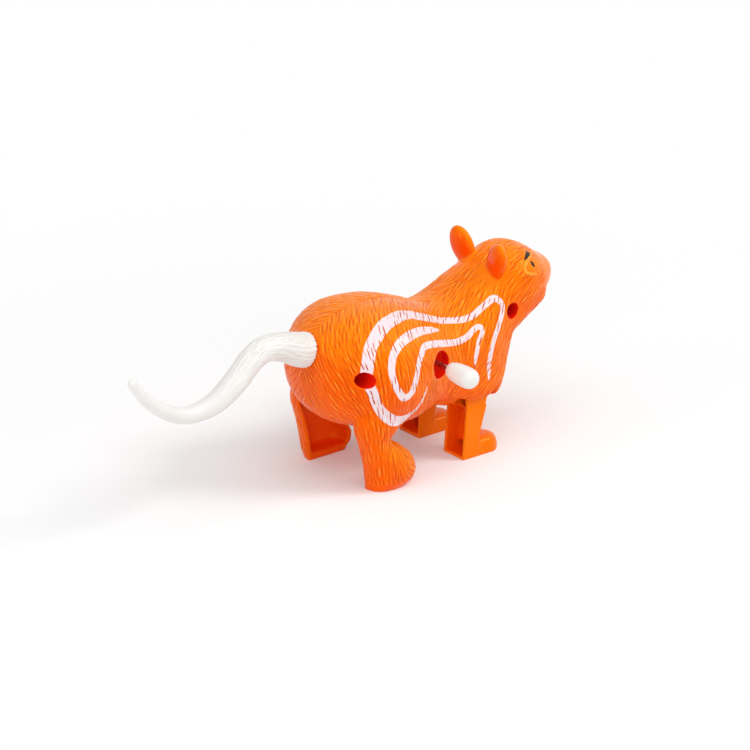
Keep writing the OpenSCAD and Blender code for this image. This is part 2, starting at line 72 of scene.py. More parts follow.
# How far the camera stands from there, and how far it sees, in m
CAMERA_AWAY = 3.0
CAMERA_SIGHT = 20


def view_axes(azimuth, elevation):
    """The directions towards the camera, to its right and up."""
    a, e = math.radians(azimuth), math.radians(elevation)
    back = Vector((math.sin(a) * math.cos(e), -math.cos(a) * math.cos(e), math.sin(e)))
    right = Vector((math.cos(a), math.sin(a), 0))
    return back, right, back.cross(right)


def add_camera():
    """The camera of the photograph's view."""
    back, right, up = view_axes(AZIMUTH, ELEVATION)
    aim = Vector((SHIFT_X, MID_Y, 0)) * MM + right * AIM_RIGHT * MM + up * AIM_UP * MM
    data = bpy.data.cameras.new("camera")
    data.sensor_width = SENSOR_MM
    data.lens = LENS_MM
    data.clip_end = CAMERA_SIGHT
    obj = bpy.data.objects.new("camera", data)
    bpy.context.scene.collection.objects.link(obj)
    obj.location = aim + back * CAMERA_AWAY
    obj.rotation_euler = (-back).to_track_quat("-Z", "Y").to_euler()
    bpy.context.scene.camera = obj


# Mesh helpers, all in mm
def read_mesh(mesh):
    """Vertex places and normals of a mesh."""
    count = len(mesh.vertices)
    co = np.empty(count * 3)
    mesh.vertices.foreach_get("co", co)
    normal = np.empty(count * 3)
    mesh.vertex_normals.foreach_get("vector", normal)
    return co.reshape(-1, 3) / MM, normal.reshape(-1, 3)


def write_mesh(mesh, co):
    """Moves a mesh's vertices, none of them outside the CAD model's box."""
    low, high = np.array(cad_box)
    mesh.vertices.foreach_set("co", np.clip(co * MM, low, high).ravel())
    mesh.update()


def edge_ends(mesh):
    """The two vertices of each edge."""
    ends = np.empty(len(mesh.edges) * 2, np.int64)
    mesh.edges.foreach_get("vertices", ends)
    return ends.reshape(-1, 2)


def relax(co, ends, weight, rounds):
    """Moves each point towards the mean of its neighbours, by its weight."""
    count = len(co)
    a, b = ends[:, 0], ends[:, 1]
    valence = np.maximum(np.bincount(np.concatenate((a, b)), minlength=count), 1)
    for _ in range(rounds):
        mean = np.empty_like(co)
        for axis in range(co.shape[1]):
            v = co[:, axis]
            mean[:, axis] = np.bincount(a, v[b], count) + np.bincount(b, v[a], count)
        mean /= valence[:, None]
        co = co + (mean - co) * weight[:, None]
    return co


def remould(name, node, voxel):
    """A dense even mesh of a CAD node's shape, voxel in mm."""
    source = bpy.data.objects.new(name + "_source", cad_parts[node].data.copy())
    bpy.context.scene.collection.objects.link(source)
    step = source.modifiers.new("even", "REMESH")
    step.mode = "VOXEL"
    step.voxel_size = voxel * MM
    step.adaptivity = 0
    graph = bpy.context.evaluated_depsgraph_get()
    mesh = bpy.data.meshes.new_from_object(source.evaluated_get(graph))
    bpy.data.objects.remove(source)
    mesh.materials.clear()
    mesh.name = name
    obj = bpy.data.objects.new(name, mesh)
    bpy.context.scene.collection.objects.link(obj)
    mesh.polygons.foreach_set("use_smooth", [True] * len(mesh.polygons))
    return obj


def put_attribute(mesh, name, values):
    """Keeps a number for each vertex, which a material reads."""
    layer = mesh.attributes.new(name, "FLOAT", "POINT")
    layer.data.foreach_set("value", np.asarray(values, np.float32))


def smooth_step(x, low, high):
    """0 up to low, 1 from high on, and a smooth rise between them."""
    t = np.clip((x - low) / (high - low), 0, 1)
    return t * t * (3 - 2 * t)


# Curves on the skin, in mm
def catmull(points, step):
    """A smooth curve through the points of a side view, sampled about every step mm."""
    p = np.array(points, float)
    p = np.vstack((2 * p[0] - p[1], p, 2 * p[-1] - p[-2]))
    out = []
    for i in range(1, len(p) - 2):
        span = np.linalg.norm(p[i + 1, :2] - p[i, :2])
        for t in np.linspace(0, 1, max(2, int(span / step)), endpoint=False):
            out.append(0.5 * (2 * p[i] + (p[i + 1] - p[i - 1]) * t
                              + (2 * p[i - 1] - 5 * p[i] + 4 * p[i + 1] - p[i + 2]) * t ** 2
                              + (3 * p[i] - p[i - 1] - 3 * p[i + 1] + p[i + 2]) * t ** 3))
    out.append(p[-2])
    return np.array(out)


# Painted stripes of a side, drawn in side view: x, z, half width
OUTER_STRIPE = [
    (14.8, 29.8, 0.15), (13.0, 26.0, 0.4), (10.5, 22.6, 0.8), (6.5, 21.0, 1.5),
    (2.5, 22.6, 1.6), (-1.0, 26.8, 1.5), (-3.0, 32.0, 1.5), (-3.9, 36.0, 1.7), (-2.8, 40.5, 1.8),
    (-0.2, 44.4, 1.8), (5.2, 47.3, 2.0), (11.5, 47.9, 2.0), (16.5, 47.2, 1.8), (23.0, 44.6, 1.6),
    (29.0, 42.0, 1.2), (34.5, 41.0, 1.0), (38.5, 41.5, 0.9), (42.5, 43.2, 0.9), (46.5, 44.5, 1.0),
    (48.5, 42.0, 0.8), (46.5, 38.5, 0.9), (44.0, 35.5, 0.9), (42.0, 31.5, 0.9), (41.0, 27.5, 0.8),
    (41.0, 24.0, 0.5), (41.0, 22.5, 0.2),
]
INNER_STRIPE = [
    (24.5, 41.5, 0.4), (21.5, 42.6, 1.0), (16.0, 44.0, 1.3), (10.5, 44.2, 1.4), (6.0, 43.2, 1.3),
    (3.3, 41.0, 1.1), (2.0, 37.5, 1.0), (2.5, 34.0, 0.9), (3.5, 31.5, 1.0), (5.5, 29.0, 1.1),
    (8.0, 30.0, 1.1), (9.5, 33.0, 1.1), (11.0, 36.7, 1.0), (13.0, 39.0, 1.0), (15.5, 40.5, 1.0),
    (20.0, 39.7, 1.0), (25.0, 38.1, 1.0), (30.0, 36.8, 0.9), (34.0, 37.0, 0.9), (37.0, 38.4, 0.8),
    (39.0, 38.8, 0.8), (39.5, 37.5, 0.7), (37.5, 35.0, 0.7), (36.3, 32.0, 0.7), (35.8, 30.0, 0.5),
    (35.9, 28.5, 0.2),
]
# On the left side the stripes lie a little lower, out of sight behind the back
LEFT_DROP = 1.5
# The black marks of the eye and the raised rim round it, in the same view
EYE_SLIT = [(61.65, 50.8, 0.4), (61.9, 50.2, 0.65), (62.1, 49.7, 0.4)]
EYE_WEDGE = [(62.5, 52.6, 0.7), (61.0, 52.3, 0.5), (59.5, 51.8, 0.15)]
EYE_RIM = [
    (63.2, 51.9, 0.3), (61.5, 51.9, 0.3), (59.8, 51.3, 0.35), (58.5, 50.4, 0.35), (58.3, 49.2, 0.35),
    (59.6, 48.3, 0.35), (61.8, 47.6, 0.3),
]

# How the hair lies: place and direction, with y out from the middle plane
HAIR = [
    ((65, 4, 51), (-1, 0.2, 0.1)), ((60, 9, 44), (-1, 0, -0.75)), ((45, 12, 42), (-1, 0, -2.1)),
    ((25, 20, 33), (0, 0, -1)), ((5, 22, 35), (0.1, 0, -1)), ((-8, 12, 35), (0.3, 0.45, -0.85)),
    ((-5, 5, 47), (-0.55, 0.7, -0.45)), ((20, 8, 49), (-0.6, 0.7, -0.5)), ((54, 10, 33), (-1, 0, -1.56)),
    ((45, 14, 20), (-1, 0, -0.75)), ((7, 20, 14), (0, 0, -1)), ((14, 20, 8), (1, 0, -0.66)),
    ((2, 20, 6), (0.1, 0, -1)), ((50, 3, 54), (-1, 0.15, -0.3)), ((71, 3, 44), (-1, 0.2, -0.3)),
    ((30, 8, 15.5), (-1, 0, 0)), ((58, 5, 31), (-0.8, 0.3, -0.5)), ((35, 8, 45), (-0.8, 0.4, -0.7)),
    ((-10, 6, 27), (0.3, 0.5, -0.8)), ((12, 22, 25), (0.05, 0, -1)), ((18, 20, 4), (1, 0, -0.2)),
]
HAIR_AT = np.array([h[0] for h in HAIR], float)
HAIR_WAY = np.array([np.array(h[1]) / math.hypot(*h[1]) for h in HAIR])
# Added to the squared distances from those places, so that the directions blend, in square mm
HAIR_BLEND = 4.0
# Cell sizes of the even meshes
SHELL_VOXEL = 0.24
TAIL_VOXEL = 0.25
LEG_VOXEL = 0.22
# Share of the way to its neighbours' mean that a point goes in a round of softening, and rounds
SOFTEN = 0.5
SOFTEN_INSIDE = 0.12
SKIN_ROUNDS = 150
HEIGHT_ROUNDS = 250
EAR_ROUNDS = 20
TAIL_ROUNDS = 12
LEG_ROUNDS = 5
# Softening sets in between these distances from the seam and from the sole
SEAM_KEPT = (0.3, 1.0)
SOLE_KEPT = (0.3, 1.2)
# The sideways part of relief sets in between these distances from the seam
SEAM_RELIEF = (0.1, 0.8)
# How closely curves are sampled on the skin, and how many of its points give a sample's depth
STRIPE_STEP = 0.2
EYE_STEP = 0.05
EYE_RIM_STEP = 0.1
SKIN_POINTS = 5
# How much a normal points sideways, at least, on skin that takes a curve
SIDE_FACING = 0.05
# Signed distance that stands for far from paint, and the limit of those that a material reads
FAR_FROM_PAINT = -9.0
PAINT_LIMIT = 2
# The rim round the eye: its height, and the signed distances between which it rises
EYE_RIM_HEIGHT = 0.35
EYE_RIM_EDGE = (-0.35, 0.15)
# The lower cheek is full, and the crease of the mouth parts it from the muzzle
JOWL = ((65.7, 7.5, 37.6), (57.0, 9.5, 35.3))
JOWL_REACH = (1.0, 5.0)
JOWL_HEIGHT = 0.9
MOUTH_AT = 39.9
MOUTH_RISE = 0.2
MOUTH_HALF = 0.5
MOUTH_DEPTH = 0.45
# The crease fades between these distances from the middle plane, and at its rear end between these places
MOUTH_SIDE = (6.5, 8.0)
MOUTH_REAR = (66.0, 68.0)
# Hair strokes are grooves with a low lip on both sides
STROKE_LENGTH = (3.0, 6.8)
STROKE_STEPS = 14
STROKE_APART = 1.1
STROKE_CLEAR = 3.2
STROKE_DEPTH = 0.23
STROKE_WIDTH = 0.25
LIP_GAP = 0.55
LIP_WIDTH = 0.17
LIP_HEIGHT = 0.1
# Each stroke's share of full depth, and how much nearer two strokes may lie where they pass end by end
STROKE_SHARE = (0.45, 1.0)
STROKE_TAPER = 0.6
# Strokes start where this much of their direction lies in the skin, the hair is this full, on a shell and
# on the tail, and the seam is this far
LEAST_LIE = 0.2
LEAST_HAIR = 0.5
LEAST_TAIL_HAIR = 0.1
SEAM_CLEAR = 0.3
# Grooves and lips are worked out where the hair is fuller than this
LEAST_RELIEF = 0.02
# Far end and root of the strokes on the tail, how far they take to fade, and the steps of its slope
TAIL_STROKES = (-52.0, -10.0)
TAIL_FADE = 25
ROOT_FADE = 1
TAIL_STEP = 2.0
# Painted light and shade: the plastic is painted palest where its skin looks this way, up and forward, as if
# lit from there, and deeper orange where it looks away; it turns pale between these shares
PAINTED_LIGHT_SIDE = np.array((0.5, 0.0, 0.87))
PAINTED_LIGHT_FACING = (-0.5, 1.0)
# A front leg: height of its foot, and how far its shin reaches forward at the ankle
FOOT_TOP = 6.0
LEG_DEPTH = 6.2
# Its inside begins between these depths from its sides and sole, on skin that points forward less than this
LEG_INSIDE = (0.6, 0.9)
LEG_FACING = (0.2, 0.5)
# Depths under a shell's outer skin between which its inner side begins
SHELL_INSIDE = (0.4, 1.2)

# Middles of the body, as x and z, and of a hind leg, as z and x, for telling the outer skin from the inner
BODY_MIDDLE = [
    (-12.5, 35.5), (-8.5, 34), (5, 33), (24, 31), (38, 30.5), (50, 34), (56, 41), (65, 43), (73.5, 43.8),
]
LEG_MIDDLE = [(0, 9.5), (5, 9.5), (10, 7), (15, 4.5), (22, 4)]
LEG_OUT = 15.0
# Limits of the rump, the head and a hind leg, and how a normal points on their outer skin
RUMP_X = -6
HEAD_X = 55
HIND_LEG_X = 24
HIND_LEG_TOP = 14
HIP_TOP = 22
OUTWARD = 0.1
RUMP_NORMAL = -0.5
SNOUT_NORMAL = 0.4
HIND_LEG_NORMAL = -0.3
# Base, root and tip of an ear's middle line, and how far the ear reaches from it
EAR_BASE = (50.6, 5.9, 49.5)
EAR_ROOT = (50.2, 7.8, 53.6)
EAR_TIP = (49.7, 10.3, 58.9)
EAR_REACH = 4.4
# Distances past that reach at which an ear's own softening begins to fade, and the body's is full
EAR_EDGE = 0.5
EAR_FADE = 2
# Where painted shade makes the back of an ear red: distance from its middle line, share of its height, and
# normal
EAR_SHADE_REACH = (2.8, 4.2)
EAR_SHADE_RISE = (0.0, 0.3)
EAR_SHADE_FADE = (0.4, 0.9)
EAR_SHADE_FACING = (-0.1, 0.7)
# Holes in the right shell: place in side view, radius
HOLES = [((-4.2, 35.0), 2.25), ((52.2, 39.6), 2.25), ((21.8, 33.2), 3.75)]
# The smooth border round them, and how far past it hair and softening are full
HOLE_BORDER = 0.3
HOLE_HAIR = 0.7
HOLE_SOFTEN = 0.6
# Painted shade: their deep red, which stands for the shade deep in them, ends between these distances past
# the radius
HOLE_SHADE_EDGE = (0.05, 0.2)
# Hair sets in between these distances from an ear, from the sole and from a line through the eye
EAR_HAIR = (3.6, 4.8)
SOLE_HAIR = (1.2, 3)
EYE_LINE = ((59.5, 8.5, 49.5), (62.5, 8.5, 49.5))
EYE_HAIR = (2.0, 3.0)
# Towards the nose, hair ends between these places
MUZZLE_HAIR = (64.5, 69)


def unit(v):
    """Directions of length 1."""
    return v / np.maximum(np.linalg.norm(v, axis=-1, keepdims=True), 1e-9)


def hair_way(p, n):
    """The directions in which the hair lies on the skin at places of a side."""
    gap = ((p[:, None] - HAIR_AT[None]) ** 2).sum(2)
    way = (1 / (gap + HAIR_BLEND) ** 2) @ HAIR_WAY
    way = unit(way)
    return way - n * (way * n).sum(1, keepdims=True)


def side_frame(co, side):
    """Places with y measured outwards from the middle plane, side -1 for the right shell."""
    out = co.copy()
    out[:, 1] = (co[:, 1] - MID_Y) * side
    out[:, 0] -= SHIFT_X
    return out


def points_out(way, n):
    """True where a normal points the way that leads out from the middle of a form."""
    return (way * n).sum(1) / (np.linalg.norm(way, axis=1) + 1e-6) > OUTWARD


def outer_skin(p, n):
    """True where a shell's surface is its outside, from places and normals in a side's frame."""
    body = np.array(BODY_MIDDLE)
    above = p[:, 2] - np.interp(p[:, 0], body[:, 0], body[:, 1])
    on_body = points_out(np.stack((np.zeros(len(p)), p[:, 1], above), 1), n)
    rear = (p[:, 0] < RUMP_X) & (n[:, 0] < RUMP_NORMAL)
    snout = (p[:, 0] > HEAD_X) & (n[:, 0] > SNOUT_NORMAL)
    leg = np.array(LEG_MIDDLE)
    ahead = p[:, 0] - np.interp(p[:, 2], leg[:, 0], leg[:, 1])
    on_leg = points_out(np.stack((ahead, p[:, 1] - LEG_OUT, np.zeros(len(p))), 1), n)
    on_leg &= (n[:, 1] > HIND_LEG_NORMAL) & (p[:, 0] < HIND_LEG_X)
    ear = near_segment(p, EAR_ROOT, EAR_TIP) < EAR_REACH
    below = (p[:, 2] < HIND_LEG_TOP) & (p[:, 0] < HIND_LEG_X)
    hip = (p[:, 2] < HIP_TOP) & on_leg
    return np.where(below, on_leg, on_body | rear | snout | ear | hip)


def near_segment(p, a, b):
    """Distances of places from the line between two points."""
    a, b = np.array(a), np.array(b)
    way = b - a
    t = np.clip(((p - a) @ way) / (way @ way), 0, 1)
    return np.linalg.norm(p - a - t[:, None] * way, axis=1)


def hole_gaps(p, side):
    """Distances of places from the axis of each hole, with its radius; the left shell has no holes."""
    holes = HOLES if side < 0 else []
    return [(np.hypot(p[:, 0] - x, p[:, 2] - z), radius) for (x, z), radius in holes]


def smooth_zone(p, side):
    """0 where the moulding is smooth, 1 where it has hair, from places in a side's frame."""
    hairy = smooth_step(near_segment(p, EAR_BASE, EAR_TIP), *EAR_HAIR)
    hairy *= 1 - smooth_step(p[:, 0], *MUZZLE_HAIR)
    hairy *= smooth_step(p[:, 2], *SOLE_HAIR)
    for gap, radius in hole_gaps(p, side):
        border = radius + HOLE_BORDER
        hairy *= smooth_step(gap, border, border + HOLE_HAIR)
    hairy *= smooth_step(near_segment(p, *EYE_LINE), *EYE_HAIR)
    return hairy


def tree_of(points):
    """A search tree for the points nearest to a place."""
    tree = KDTree(len(points))
    for i, p in enumerate(points):
        tree.insert(p, i)
    tree.balance()
    return tree


def stroke_starts(p, n, usable, lie):
    """Places spread over the skin for the middles of strokes, no two too near side by side."""
    picks = np.flatnonzero(usable)
    way = lie(p[picks], n[picks])
    picks = picks[np.linalg.norm(way, axis=1) > LEAST_LIE]
    random.shuffle(picks)
    way = unit(lie(p[picks], n[picks]))
    cells = {}
    kept = []
    for pick, place, along_way in zip(picks, p[picks], way):
        i, j, k = (place // STROKE_CLEAR).astype(int)
        near = [q for a in (-1, 0, 1) for b in (-1, 0, 1) for c in (-1, 0, 1)
                for q in cells.get((i + a, j + b, k + c), ())]
        if near:
            apart = np.array(near) - place
            along = np.abs(apart @ along_way)
            across = np.sqrt(np.maximum((apart ** 2).sum(1) - along ** 2, 0))
            least = STROKE_APART * (1 - STROKE_TAPER * along / STROKE_CLEAR)
            if ((along < STROKE_CLEAR) & (across < least)).any():
                continue
        cells.setdefault((i, j, k), []).append(place)
        kept.append(pick)
    return np.array(kept)


def lay_strokes(p, n, usable, lie):
    """Strokes on a skin along the way that lie() gives: points with each one's share of full depth."""
    tree = tree_of(p)
    starts = stroke_starts(p, n, usable, lie)
    count = len(starts)
    step = np.array([random.uniform(*STROKE_LENGTH) for _ in range(count)])[:, None] / 2 / STROKE_STEPS
    depth = np.array([random.uniform(*STROKE_SHARE) for _ in range(count)])[:, None]
    strokes = []
    for sign in (1, -1):
        point, normal = p[starts], n[starts]
        for k in range(STROKE_STEPS):
            strokes.append(np.hstack((point, depth * (1 - (k / STROKE_STEPS) ** 3))))
            point = point + unit(lie(point, normal)) * step * sign
            hit = np.array([tree.find(q)[1] for q in point])
            normal = n[hit]
            point = point - normal * ((point - p[hit]) * normal).sum(1, keepdims=True)
    return np.vstack(strokes)


def stroke_relief(strokes, p, share):
    """Groove and lip of the nearest stroke at each place, from 0 to 1."""
    tree = tree_of(strokes[:, :3])
    groove, lip = np.zeros((2, len(p)))
    for i in np.flatnonzero(share > LEAST_RELIEF):
        _, hit, gap = tree.find(p[i])
        depth = strokes[hit, 3] * share[i]
        groove[i] = depth * math.exp(-(gap / STROKE_WIDTH) ** 2)
        lip[i] = depth * math.exp(-((gap - LIP_GAP) / LIP_WIDTH) ** 2)
    return groove, lip


def on_skin(curve, p, n, outside, step):
    """A curve of the side view laid on the outer skin: x, y, z, half width."""
    facing = np.flatnonzero(outside & (n[:, 1] > SIDE_FACING))
    tree = tree_of(p[facing] * (1, 0, 1))
    points = catmull(curve, step)
    near = [tree.find_n((x, 0, z), SKIN_POINTS) for x, z, _ in points]
    depth = [np.mean([p[facing[hit], 1] for _, hit, _ in hits]) for hits in near]
    return np.column_stack((points[:, 0], depth, points[:, 1], points[:, 2]))


def distance_to(curves, p):
    """Signed distance of each place from painted curves: positive inside, in mm."""
    points = np.vstack(curves)
    tree = tree_of(points[:, :3])
    near = [tree.find(q) for q in p]
    return np.array([points[hit, 3] - gap for _, hit, gap in near])


def smooth_shell(mesh, side):
    """Takes the facets out of a shell's outer skin and keeps its size; returns which points are outside."""
    ends = edge_ends(mesh)
    co, normal = read_mesh(mesh)
    p = side_frame(co, side)
    outside = outer_skin(p, normal * (1, side, 1))
    free = smooth_step(p[:, 1], *SEAM_KEPT) * smooth_step(p[:, 2], *SOLE_KEPT)
    for gap, radius in hole_gaps(p, side):
        free *= smooth_step(gap, radius, radius + HOLE_BORDER + HOLE_SOFTEN)
    from_ear = near_segment(p, EAR_BASE, EAR_TIP)
    free *= smooth_step(from_ear, EAR_REACH, EAR_REACH + EAR_FADE)
    weight = np.where(outside, SOFTEN, SOFTEN_INSIDE) * free
    soft = relax(co, ends, weight, SKIN_ROUNDS)
    sunk = ((co - soft) * normal).sum(1, keepdims=True) * outside[:, None]
    sunk = relax(sunk, ends, np.full(len(co), SOFTEN), HEIGHT_ROUNDS)
    soft = soft + normal * sunk * free[:, None]
    ear = SOFTEN * (1 - smooth_step(from_ear, EAR_REACH + EAR_EDGE, EAR_REACH + EAR_FADE)) * outside
    write_mesh(mesh, relax(soft, ends, ear, EAR_ROUNDS))
    return outside


def ear_painted_shade(p, n):
    """How much red shade is painted on the back of an ear: most a third of the way up, fading out towards
    its base and its tip.
    """
    base, tip = np.array(EAR_BASE), np.array(EAR_TIP)
    rise = ((p - base) @ (tip - base)) / ((tip - base) @ (tip - base))
    near = 1 - smooth_step(near_segment(p, EAR_BASE, EAR_TIP), *EAR_SHADE_REACH)
    along = smooth_step(rise, *EAR_SHADE_RISE) * (1 - smooth_step(rise, *EAR_SHADE_FADE))
    return near * along * smooth_step(-n[:, 0], *EAR_SHADE_FACING)


def cheek_relief(p):
    """How far the lower cheek stands out and the crease of the mouth goes in, in mm."""
    full = JOWL_HEIGHT * (1 - smooth_step(near_segment(p, *JOWL), *JOWL_REACH))
    off = (p[:, 2] - MOUTH_AT - MOUTH_RISE * p[:, 1]) / MOUTH_HALF
    crease = np.exp(-off ** 2) * (1 - smooth_step(p[:, 1], *MOUTH_SIDE)) * smooth_step(p[:, 0], *MOUTH_REAR)
    return full - MOUTH_DEPTH * crease


def side_stripes(side):
    """The stripes of a side, in side view."""
    drop = LEFT_DROP if side > 0 else 0
    return [[(x, z - drop, half) for x, z, half in curve] for curve in (OUTER_STRIPE, INNER_STRIPE)]


def inner_depth(p, outside):
    """0 on the outer skin and its edges, 1 on the inner side of the wall."""
    tree = tree_of(p[outside])
    deep = np.zeros(len(p))
    for i in np.flatnonzero(~outside):
        deep[i] = tree.find(p[i])[2]
    return smooth_step(deep, *SHELL_INSIDE)


def shell_skin(name, node, side, strokes=None):
    """A shell's moulded look: soft edges, hair strokes, relief of the face and the masks for its paint."""
    obj = remould(name, node, SHELL_VOXEL)
    mesh = obj.data
    outside = smooth_shell(mesh, side)
    co, normal = read_mesh(mesh)
    p = side_frame(co, side)
    n = normal * (1, side, 1)
    zone = smooth_zone(p, side)
    hairy = zone * outside
    if strokes is None:
        strokes = lay_strokes(p, n, (hairy > LEAST_HAIR) & (p[:, 1] > SEAM_CLEAR), hair_way)
    groove, lip = stroke_relief(strokes, p, hairy)
    stripe, eye, relief = np.full((3, len(p)), FAR_FROM_PAINT)
    skin = np.flatnonzero(outside)
    head = skin[p[skin, 0] > HEAD_X]
    stripes = [on_skin(c, p, n, outside, STRIPE_STEP) for c in side_stripes(side)]
    eye_marks = [on_skin(c, p, n, outside, EYE_STEP) for c in (EYE_SLIT, EYE_WEDGE)]
    stripe[skin] = distance_to(stripes, p[skin])
    eye[head] = distance_to(eye_marks, p[head])
    relief[head] = distance_to([on_skin(EYE_RIM, p, n, outside, EYE_RIM_STEP)], p[head])
    rim = smooth_step(relief, *EYE_RIM_EDGE)
    bump = EYE_RIM_HEIGHT * rim + LIP_HEIGHT * lip - STROKE_DEPTH * groove + cheek_relief(p) * outside
    push = normal * bump[:, None]
    push[:, 1] *= smooth_step(p[:, 1], *SEAM_RELIEF)
    write_mesh(mesh, co + push)
    # Painted shade: the deep red of the recess in each hole
    hole = np.zeros(len(p))
    for gap, radius in hole_gaps(p, side):
        hole = np.maximum(hole, 1 - smooth_step(gap, radius + HOLE_SHADE_EDGE[0], radius + HOLE_SHADE_EDGE[1]))
    put_attribute(mesh, "smooth", 1 - zone)
    put_attribute(mesh, "groove", groove)
    # Painted highlight: the lips of the strokes and the rim round the eye are given pale orange in the
    # material
    put_attribute(mesh, "lip", np.maximum(lip, rim))
    # Painted shade: red on the back of the ears
    put_attribute(mesh, "ear_shade", ear_painted_shade(p, n))
    # Painted light: the share of paler orange on skin facing up and forward, with painted shade where the
    # skin faces away
    put_attribute(mesh, "pale", smooth_step(n @ PAINTED_LIGHT_SIDE, *PAINTED_LIGHT_FACING))
    put_attribute(mesh, "stripe", np.clip(stripe, -PAINT_LIMIT, PAINT_LIMIT))
    put_attribute(mesh, "eye", np.clip(eye, -PAINT_LIMIT, PAINT_LIMIT))
    # The material paints the inner side red, as light bounced inside and shining through the wall
    put_attribute(mesh, "hollow", inner_depth(p, outside))
    put_attribute(mesh, "hole", hole)
    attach(obj, "chassis")
    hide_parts(node)
    return obj, strokes


def mark_hollow(obj):
    """Marks the inside of a leg that is open to the rear."""
    co, normal = read_mesh(obj.data)
    foot = co[co[:, 2] < FOOT_TOP]
    low, high = foot.min(0), foot.max(0)
    from_wall = np.minimum(co[:, 1] - low[1], high[1] - co[:, 1])
    inside = smooth_step(from_wall, *LEG_INSIDE) * smooth_step(co[:, 2], *LEG_INSIDE)
    inside *= 1 - smooth_step(normal[:, 0], *LEG_FACING)
    toe = (co[:, 2] < FOOT_TOP) & (co[:, 0] - low[0] > LEG_DEPTH)
    # The material paints this inside red, as light bounced inside and shining through the thin wall
    put_attribute(obj.data, "hollow", np.where(toe, 0, inside))


def comb_tail(obj):
    """Cuts fine lengthwise strokes into the tail's skin, fading out towards its tip."""
    co, normal = read_mesh(obj.data)
    p = side_frame(co, 1)
    column = np.round(p[:, 0] / TAIL_STEP).astype(int)
    columns = np.unique(column)
    stations = columns * TAIL_STEP
    heights = [p[column == c, 2].mean() for c in columns]
    slope = np.gradient(heights, stations)

    def lie(at, skin_normal):
        rise = np.interp(at[:, 0], stations, slope)
        way = np.stack((np.ones(len(at)), np.zeros(len(at)), rise), 1)
        return way - skin_normal * (way * skin_normal).sum(1, keepdims=True)

    far_end, root = TAIL_STROKES
    share = smooth_step(p[:, 0], far_end, far_end + TAIL_FADE)
    share = share * (1 - smooth_step(p[:, 0], root, root + ROOT_FADE))
    groove, lip = stroke_relief(lay_strokes(p, normal, share > LEAST_TAIL_HAIR, lie), p, share)
    write_mesh(obj.data, co + normal * (LIP_HEIGHT * lip - STROKE_DEPTH * groove)[:, None])
    put_attribute(obj.data, "groove", groove)


def soft_copy(name, node, body, voxel, rounds):
    """A CAD node's shape with its moulded edges softened."""
    obj = remould(name, node, voxel)
    mesh = obj.data
    co, _ = read_mesh(mesh)
    write_mesh(mesh, relax(co, edge_ends(mesh), np.full(len(co), SOFTEN), rounds))
    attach(obj, body)
    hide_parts(node)
    return obj


# Materials
class Shader:
    """A node material built from short calls."""

    def __init__(self, name):
        self.material = bpy.data.materials.new(name)
        self.material.use_nodes = True
        self.nodes = self.material.node_tree.nodes
        self.links = self.material.node_tree.links
        self.surface = self.nodes["Principled BSDF"]

    def add(self, kind, **inputs):
        node = self.nodes.new(kind)
        for key, value in inputs.items():
            self.feed(node.inputs[key.replace("_", " ")], value)
        return node

    def feed(self, socket, value):
        if hasattr(value, "is_output"):
            self.links.new(value, socket)
        else:
            socket.default_value = value

    def set(self, **inputs):
        for key, value in inputs.items():
            self.feed(self.surface.inputs[key.replace("_", " ")], value)

    def attribute(self, name):
        node = self.nodes.new("ShaderNodeAttribute")
        node.attribute_name = name
        return node.outputs["Fac"]

    def noise(self, scale, detail):
        place = self.nodes.new("ShaderNodeTexCoord").outputs["Object"]
        return self.add("ShaderNodeTexNoise", Vector=place, Scale=scale, Detail=detail).outputs["Fac"]

    def remap(self, value, low, high, out_low=0.0, out_high=1.0):
        """A smooth change from out_low to out_high while the value goes from low to high."""
        node = self.add("ShaderNodeMapRange", Value=value)
        node.interpolation_type = "SMOOTHSTEP"
        for index, number in enumerate((low, high, out_low, out_high)):
            node.inputs[index + 1].default_value = number
        return node.outputs["Result"]

    def math(self, kind, a, b):
        node = self.nodes.new("ShaderNodeMath")
        node.operation = kind
        self.feed(node.inputs[0], a)
        self.feed(node.inputs[1], b)
        return node.outputs[0]

    def mix(self, share, a, b):
        """Colour a where the share is 0, colour b where it is 1."""
        node = self.nodes.new("ShaderNodeMix")
        node.data_type = "RGBA"
        self.feed(node.inputs["Factor"], share)
        self.feed(node.inputs[6], a)
        self.feed(node.inputs[7], b)
        return node.outputs[2]

    def bump(self, height, strength, distance):
        node = self.add("ShaderNodeBump", Height=height, Strength=strength, Distance=distance)
        self.set(Normal=node.outputs["Normal"])


# Colours, as linear red, green, blue and alpha
# Painted shade: deeper orange for skin that faces down and away
PAINTED_SHADE_ORANGE = (0.92, 0.11, 0.001, 1)
ORANGE = (0.94, 0.165, 0.001, 1)
# Paler orange, for the plastic's random tone and for painted light on skin facing up
PALE_ORANGE_AND_PAINTED_LIGHT = (0.98, 0.235, 0.003, 1)
# Painted shade in the hair grooves, on the bare plastic
GROOVE_SHADE_ORANGE = (0.64, 0.05, 0.001, 1)
# Painted highlight: pale orange on the lips of the strokes and on the eye's rim
PAINTED_HIGHLIGHT_ORANGE = (1.0, 0.38, 0.035, 1)
# Painted shade: the red of the shaded back of an ear
EAR_SHADE_RED = (0.95, 0.06, 0.001, 1)
# Painted shade in the hair grooves inside a stripe, where the white paint leaves the plastic bare
STRIPE_GROOVE_SHADE = (0.42, 0.04, 0.03, 1)
# Painted light: the red of light bounced inside a shell and shining through its thin wall
SHELL_HOLLOW_BOUNCE_RED = (1.0, 0.1, 0.001, 1)
# Painted shade: deep red in the screw holes and the winding hole
HOLE_SHADE_RED = (0.85, 0.012, 0.003, 1)
